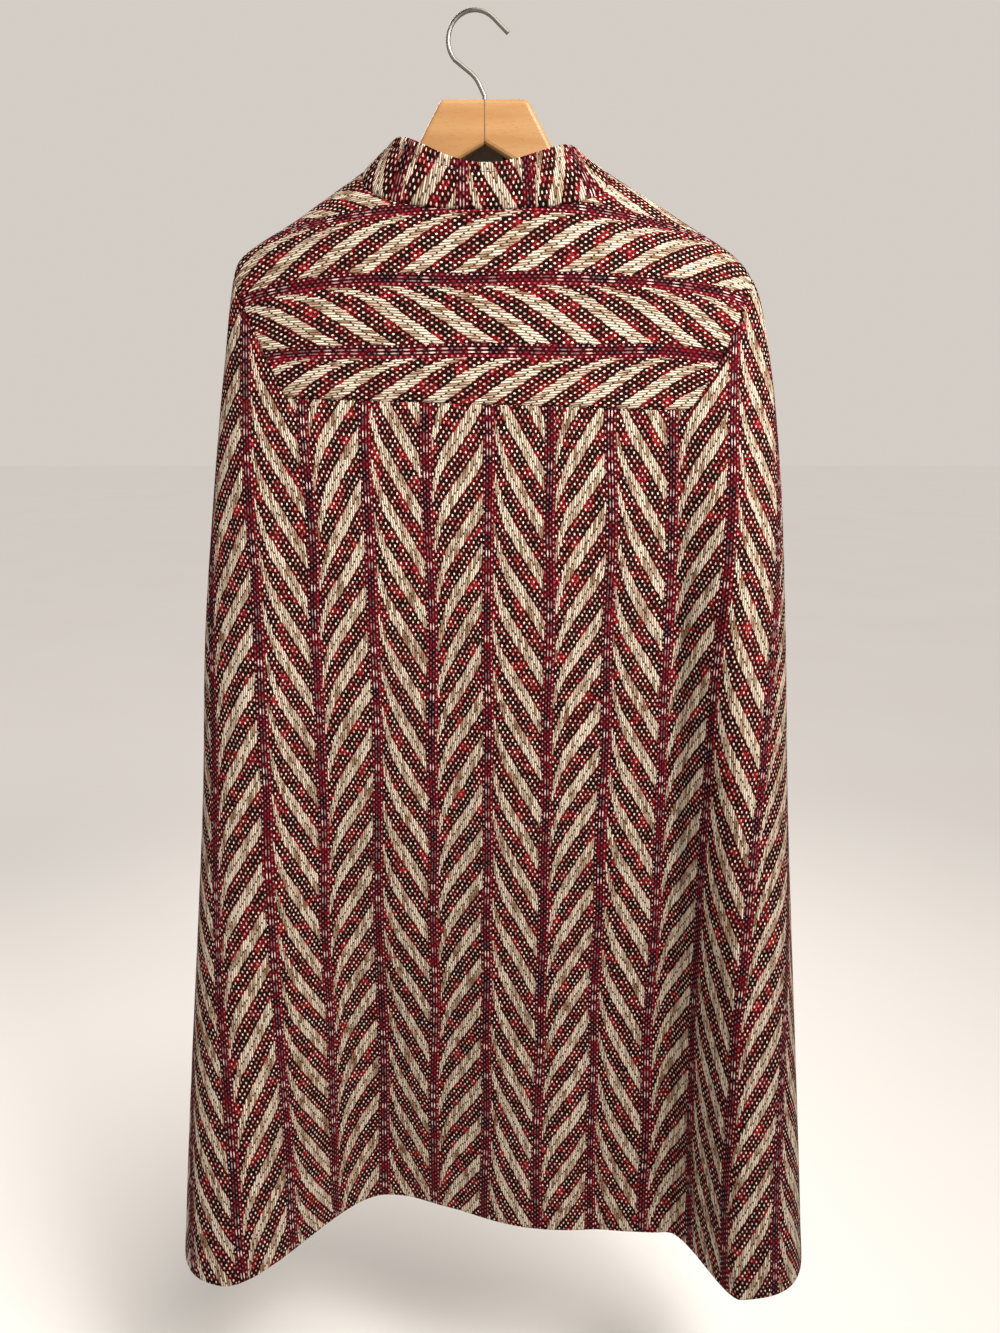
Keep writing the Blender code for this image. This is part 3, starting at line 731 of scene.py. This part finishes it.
# Yoke
# The same cloth turned a quarter, so that its columns run across the shoulders. It is cut to
# the neck and the shoulder ridges and sewn to the back panel along a level seam.
YOKE_WIDE = 0.52
YOKE_LONG = 0.16
NAPE_Z = -0.166
NECK_POINT_Z = -0.126
BACK_NECK_POWER = 2.4
YOKE_COLUMN_Z = -0.1625
YOKE_COLUMN_SAG = 0.007
YOKE_PITCH = 0.060
YOKE_START = 0.115


def back_neck_z(across):
    return NAPE_Z + (NECK_POINT_Z - NAPE_Z) * np.abs(width_share(across)) ** BACK_NECK_POWER


def yoke_pattern(across, z, points):
    """The columns run across the back. Over a shoulder ridge, the way forward counts as up."""
    first_column = YOKE_COLUMN_Z + YOKE_COLUMN_SAG * width_share(across) ** 2
    over_ridge = points[:, 1] - back_line(points[:, 0], z)
    columns = (first_column - z - over_ridge) / YOKE_PITCH
    return np.stack([columns, YOKE_START - points[:, 0] / PATTERN_REPEAT], axis=-1)


sew_panel(
    "back_yoke",
    lie_back(back_neck_z, yoke_seam_z, yoke_pattern),
    YOKE_WIDE,
    YOKE_LONG,
    0.0,
)


# Fronts
# Two plain pieces of the same cloth from the shoulder ridges to the hem, sewn to the back along
# the sides. The right one laps over the left one down the middle.
FRONT_WIDE = 0.40
FRONT_LONG = 1.08
FRONT_NECK_Z = -0.136
FRONT_NECK_POWER = 1.5
CENTRE_FRONT_X = 0.008
LAP = 0.036
LAP_STEP_RUN = 0.045
SEAM_GAP = 0.0004
FRONT_PITCH = 0.0565
FRONT_COLUMN_START = 0.5
LAP_PATTERN_STEP = 0.35
FRONT_FOLD_START_Z = -0.26
FrontFold = namedtuple("FrontFold", "shoulder_x hem_x half_width depth")
FRONT_FOLDS = (
    FrontFold(-0.150, -0.205, 0.060, 0.009),
    FrontFold(-0.060, -0.085, 0.045, 0.006),
    FrontFold(0.085, 0.110, 0.050, 0.007),
    FrontFold(0.175, 0.235, 0.060, 0.009),
)
FRONT_CREASES = (
    Crease(-0.110, -0.32, -0.140, -1.21, 0.034, 0.040, 0.0040),
    Crease(-0.180, -0.26, -0.196, -0.62, 0.022, 0.018, -0.0030),
    Crease(-0.240, -0.50, -0.262, -1.21, 0.020, 0.026, 0.0030),
    Crease(0.130, -0.34, 0.168, -1.21, 0.038, 0.032, 0.0042),
    Crease(0.205, -0.27, 0.224, -0.66, 0.018, 0.022, -0.0030),
    Crease(0.275, -0.48, 0.292, -1.21, 0.022, 0.020, 0.0028),
    Crease(0.050, -0.70, 0.062, -1.21, 0.024, 0.030, 0.0026),
)


def front_line(x, z):
    """The front's place in Y: nearly flat, with soft folds that deepen towards the hem."""
    y = section_value("front", z)
    opened = ease((z - FRONT_FOLD_START_Z) / (HEM_Z - FRONT_FOLD_START_Z))
    for fold in FRONT_FOLDS:
        middle = fold.shoulder_x + (fold.hem_x - fold.shoulder_x) * share_down(z)
        reach = np.clip(np.abs(x - middle) / fold.half_width, 0.0, 1.0)
        y = y - fold.depth * opened * (0.5 + 0.5 * np.cos(np.pi * reach))
    return y + creased(x, z, FRONT_CREASES)


def across_at(x, z):
    """The place across that lies at an X."""
    left, right = section_value("left", z), section_value("right", z)
    return np.arcsin((x - (left + right) / 2) / ((right - left) / 2)) * 2 / np.pi


def front_neck_z(share):
    return NECK_POINT_Z + (FRONT_NECK_Z - NECK_POINT_Z) * share**FRONT_NECK_POWER


def front_point(side, share, z):
    """Points and normals of a front, by the share of the way from its side seam to its edge. The
    left front sinks under the right one near its edge."""
    edge = across_at(CENTRE_FRONT_X - side * LAP / 2, z)
    across = side + (edge - side) * share
    points = tube_point(across, z, front_line)
    normals = outward(across, z, front_line)
    if side < 0:
        from_edge = CENTRE_FRONT_X - LAP / 2 - points[:, 0]
        sunk = (WALL + SEAM_GAP) * ease(1 - from_edge / LAP_STEP_RUN)
        points = points - normals * sunk[:, None]
    return points, normals, across


front_length = lengths_round(front_line)


def lie_front(side):
    """How one front lies, from its edge to its side on the left and the other way on the right."""

    def lie(across_share, down_share):
        share = across_share if side > 0 else 1 - across_share
        top, bottom = front_neck_z(share), hem_z(1 - share)
        z = top + (bottom - top) * down_share
        points, normals, across = front_point(side, share, z)
        columns = FRONT_COLUMN_START - front_length(across, z) / FRONT_PITCH
        repeats = (YOKE_SEAM_Z - z) / PATTERN_REPEAT + (LAP_PATTERN_STEP if side > 0 else 0)
        return points, normals, np.stack([columns, repeats], axis=-1)

    return lie


for front_side, front_word in ((-1, "left"), (1, "right")):
    sew_panel(
        "front_" + front_word,
        lie_front(front_side),
        FRONT_WIDE,
        FRONT_LONG,
        HEM_TURN_UP,
    )


# Collar
# A stand collar of the same cloth, cut with its columns upright and sewn round the neck. A row
# of stitches a few millimetres under its top edge pulls a shallow groove into the wool.
COLLAR_LONG = 0.52
COLLAR_TALL = 0.036
COLLAR_BULGE = 0.0015
COLLAR_CELL = 0.0026
COLLAR_ROW = 0.0016
COLLAR_COLUMN_X = -0.0118
COLLAR_PITCH = 0.0585
COLLAR_START = 0.2
STITCH_DOWN = 0.21
STITCH_GROOVE = 0.0011
GROOVE_REACH = 0.045

# Its top edge at the back, the sides and the front: how far it leans in sideways and out from
# the neck seam, and its level
CollarEdge = namedtuple("CollarEdge", "inward outward z")
COLLAR_EDGES = {
    "back": CollarEdge(0.000, 0.004, -0.130),
    "left": CollarEdge(0.029, 0.000, -0.105),
    "right": CollarEdge(0.029, 0.000, -0.112),
    "front": CollarEdge(0.000, -0.005, -0.094),
}
FRONT_NECK_POINTS = 120
BACK_NECK_POINTS = 240
RING_POINTS = 400


def read_along(at, places, vectors):
    """Vectors at places along a line on which others are given."""
    return np.stack([np.interp(at, places, part) for part in vectors.T], axis=-1)


def neck_ring():
    """The neck seam, from the left front's edge round the back to the right front's edge."""
    shares = np.linspace(0, 1, FRONT_NECK_POINTS)
    left, left_out, _ = front_point(-1, shares[::-1], front_neck_z(shares[::-1]))
    across = np.linspace(-1, 1, BACK_NECK_POINTS)
    back = tube_point(across, back_neck_z(across), back_line)
    back_out = outward(across, back_neck_z(across), back_line)
    right, right_out, _ = front_point(1, shares, front_neck_z(shares))
    points = np.concatenate([left[:-1], back, right[1:]])
    normals = np.concatenate([left_out[:-1], back_out, right_out[1:]])
    steps = np.linalg.norm(np.diff(points, axis=0), axis=1)
    length = np.concatenate([[0.0], np.cumsum(steps)])
    even = np.linspace(0, length[-1], RING_POINTS)
    return read_along(even, length, points), read_along(even, length, normals), even


ring, ring_out, ring_length = neck_ring()
neck_length = ring_length[-1]
behind_neck = np.where(ring[:, 1] < 0)[0]
collar_column = np.interp(COLLAR_COLUMN_X, ring[behind_neck, 0], ring_length[behind_neck])


def collar_face(along, share_up, inset=0.0):
    """Points and normals of the collar, along the neck seam and up from it."""
    base = read_along(along * neck_length, ring_length, ring)
    base_out = unit(read_along(along * neck_length, ring_length, ring_out))
    left, right = section_value("left", NECK_POINT_Z), section_value("right", NECK_POINT_Z)
    sideways = np.clip((base[:, 0] - (left + right) / 2) / ((right - left) / 2), -1.0, 1.0)
    behind = base[:, 1] < 0
    ends = np.where(behind[:, None], COLLAR_EDGES["back"], COLLAR_EDGES["front"])
    sides = np.where(sideways[:, None] < 0, COLLAR_EDGES["left"], COLLAR_EDGES["right"])
    turns = np.stack([sideways**2, sideways**2, ease(np.abs(sideways))], axis=-1)
    inward, out, top_z = (ends + (sides - ends) * turns).T
    climb = np.stack(
        [-np.copysign(inward, sideways), np.where(behind, -1, 1) * out, top_z - base[:, 2]], axis=-1
    )
    level_out = base_out * (1, 1, 0)
    lean_in = (level_out * climb).sum(-1, keepdims=True) / (climb * climb).sum(-1, keepdims=True)
    upright = unit(level_out - climb * lean_in)
    stand = ease(share_up * 2)[:, None]
    normal = unit(base_out * (1 - stand) + upright * stand)
    bulge = COLLAR_BULGE * np.sin(np.pi * share_up) - inset
    return base + climb * share_up[:, None] + normal * bulge[:, None], normal


def lie_collar(across_share, down_share):
    points, normals = collar_face(across_share, 1 - down_share)
    groove = STITCH_GROOVE * np.exp(-(((down_share - STITCH_DOWN) / GROOVE_REACH) ** 2))
    columns = (across_share * neck_length - collar_column) / COLLAR_PITCH
    repeats = COLLAR_START + down_share * COLLAR_TALL / PATTERN_REPEAT
    return points - normals * groove[:, None], normals, np.stack([columns, repeats], axis=-1)


collar_wide = cut_steps(COLLAR_LONG, COLLAR_CELL)
collar_tall = cut_steps(COLLAR_TALL, COLLAR_ROW)
collar = lay_sheet("collar_cloth", collar_wide, collar_tall, lie_collar, wool)
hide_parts("collar")

STITCH_PITCH = 0.0042
STITCH_LENGTH = 0.0030
STITCH_WIDTH = 0.0007
STITCH_RISE = STITCH_WIDTH * 0.35
STITCH_AIM = 0.002
thread, draft, shader = new_finish("maroon_thread", 0.7)
twist = draft.noise(draft.object_place(), (2400, 2400, 2400), 1.0)
draft.feed(shader.inputs["Base Color"], draft.mix(twist, dye(66, 18, 34), dye(112, 34, 50)))
raise_surface(draft, shader, twist, 0.0001)
stitch_count = int(neck_length / STITCH_PITCH) - 2
stitch_along = (np.arange(stitch_count) + 1.5) * STITCH_PITCH / neck_length
stitch_up = np.full(stitch_count, 1 - STITCH_DOWN)
stitch_places, stitch_out = collar_face(stitch_along, stitch_up, STITCH_GROOVE - STITCH_RISE)
stitch_heads, _ = collar_face(stitch_along + STITCH_AIM, stitch_up)
stitch_tails, _ = collar_face(stitch_along - STITCH_AIM, stitch_up)
stitch_shape = Matrix.Diagonal((STITCH_LENGTH / 2, STITCH_WIDTH / 2, STITCH_WIDTH / 2, 1))
stitch_row = bmesh.new()
for middle, out, onward in zip(stitch_places, stitch_out, unit(stitch_heads - stitch_tails)):
    turn = Matrix((Vector(onward), Vector(out).cross(Vector(onward)), Vector(out))).transposed().to_4x4()
    placed = Matrix.Translation(middle) @ turn @ stitch_shape
    bmesh.ops.create_uvsphere(stitch_row, u_segments=6, v_segments=4, radius=1, matrix=placed)
stitch_mesh = bpy.data.meshes.new("collar_stitches")
stitch_row.to_mesh(stitch_mesh)
stitch_row.free()
stitch_mesh.shade_smooth()
stitch_mesh.materials.append(thread)
stitches = add_object("collar_stitches", stitch_mesh)
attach(stitches, "root")


# Collar lining
# Smooth dark grey satin sewn inside the collar, a little short of its top edge. It shows under
# the hanger's notch, between the collar's two sides.
LINING_INSET = WALL + 0.0004
LINING_STARTS = 0.003
LINING_REACH = 0.922
LINING_TOP = 0.97
LINING_DROP = 0.92
LINING_CELLS = 160
LINING_ROWS = 14
LINING_SHADES = 8
satin, draft, shader = new_finish("grey_satin", 0.42)
lining_place = draft.cloth_place()
threads = draft.noise(lining_place, (900, 120, 1))
soft_shade = draft.noise(lining_place, (9, 6, 1))
draft.feed(shader.inputs["Base Color"], draft.mix(soft_shade, dye(74, 69, 63), dye(104, 98, 90)))
draft.feed(shader.inputs["Roughness"], draft.fade(threads, 0.3, 0.7, 0.36, 0.52))
raise_surface(draft, shader, threads, 0.00006)
shader.inputs["Sheen Weight"].default_value = 0.1


def lie_lining(across_share, down_share):
    along = LINING_STARTS + across_share * LINING_REACH
    points, normals = collar_face(along, LINING_TOP - down_share * LINING_DROP, LINING_INSET)
    return points, normals, np.stack([across_share * LINING_SHADES, down_share], axis=-1)


def even_steps(count):
    return Steps(np.linspace(0, 1, count + 1), np.zeros(count + 1))


lining_wide = even_steps(LINING_CELLS)
lining_tall = even_steps(LINING_ROWS)
lining = lay_sheet("collar_lining_satin", lining_wide, lining_tall, lie_lining, satin, inside=True)
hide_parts("collar_lining")


# Floor and light
# A plain pale floor well below the hem, a soft lamp up to the right of the back, weaker ones from
# the left and from behind, soft daylight from above and a pale sky all round.
FLOOR_Z = -1.5
FLOOR_SIZE = 30
LAMP_SPREAD = math.radians(100)
SKY_STRENGTH = 0.24
SKY_SEEN_STRENGTH = 0.76
floor_shape = bmesh.new()
bmesh.ops.create_grid(floor_shape, x_segments=8, y_segments=8, size=FLOOR_SIZE)
bmesh.ops.translate(floor_shape, verts=floor_shape.verts, vec=(0, 0, FLOOR_Z))
floor_mesh = bpy.data.meshes.new("floor")
floor_shape.to_mesh(floor_mesh)
floor_shape.free()
plaster, draft, shader = new_finish("pale_floor", 0.85)
cloudy = draft.noise(draft.object_place(), (1.3, 1.3, 1.3), 3.0)
draft.feed(shader.inputs["Base Color"], draft.mix(cloudy, dye(244, 240, 236), dye(248, 245, 242)))
floor_mesh.materials.append(plaster)
floor = add_object("floor", floor_mesh)


def turn_towards(direction):
    return Vector(direction).to_track_quat("-Z", "Y").to_euler()


def soft_lamp(name, place, aim, size, power, colour):
    """A round lamp that isn't seen itself."""
    lamp = bpy.data.lights.new(name, "AREA")
    lamp.shape = "DISK"
    lamp.size = size
    lamp.energy = power
    lamp.color = colour
    lamp.spread = LAMP_SPREAD
    made = add_object(name, lamp)
    made.location = place
    made.rotation_euler = turn_towards(Vector(aim) - Vector(place))
    made.visible_camera = False
    return lamp


soft_lamp("key_lamp", (0.75, -1.0, 0.45), (0.0, 0.0, -0.25), size=0.6, power=9.8, colour=(1.0, 0.95, 0.89))
soft_lamp("fill_lamp", (-1.3, -1.7, 0.1), (0.0, 0.0, -0.6), size=1.2, power=2.5, colour=(1.0, 0.96, 0.92))
far_lamp = soft_lamp(
    "far_lamp", (-0.6, 2.0, 0.8), (0.0, 0.0, -0.6), size=1.4, power=12, colour=(1.0, 0.96, 0.9)
)
far_lamp.specular_factor = 0.15
day = bpy.data.lights.new("day_lamp", "SUN")
day.energy = 1.8
day.angle = math.radians(25)
day.color = (1.0, 0.96, 0.92)
add_object("day_lamp", day).rotation_euler = turn_towards((-0.30, 0.30, -0.90))
sky = bpy.data.worlds.new("pale_sky")
sky.use_nodes = True
draft = Draft(sky.node_tree)
sky_light = sky.node_tree.nodes["Background"]
sky_light.inputs["Color"].default_value = dye(240, 232, 224)
seen = sky.node_tree.nodes.new("ShaderNodeLightPath").outputs["Is Camera Ray"]
draft.feed(sky_light.inputs["Strength"], draft.fade(seen, 0.0, 1.0, SKY_STRENGTH, SKY_SEEN_STRENGTH))
bpy.context.scene.world = sky
bpy.context.scene.view_settings.view_transform = "Standard"


# Camera
# It stands a metre from the back, a little to the right of its middle and below the shoulders,
# and is tilted down towards the hem.
CAMERA_PLACE = (0.0215, -0.974, -0.347)
CAMERA_TILT = 13.4
CAMERA_LENS = 36.25
CAMERA_SENSOR = 36.0
camera_lens = bpy.data.cameras.new("camera")
camera_lens.sensor_fit = "HORIZONTAL"
camera_lens.sensor_width = CAMERA_SENSOR
camera_lens.lens = CAMERA_LENS
camera_lens.clip_start = 0.02
camera = add_object("camera", camera_lens)
camera.location = CAMERA_PLACE
camera.rotation_euler = (math.radians(90 - CAMERA_TILT), 0, 0)
bpy.context.scene.camera = camera
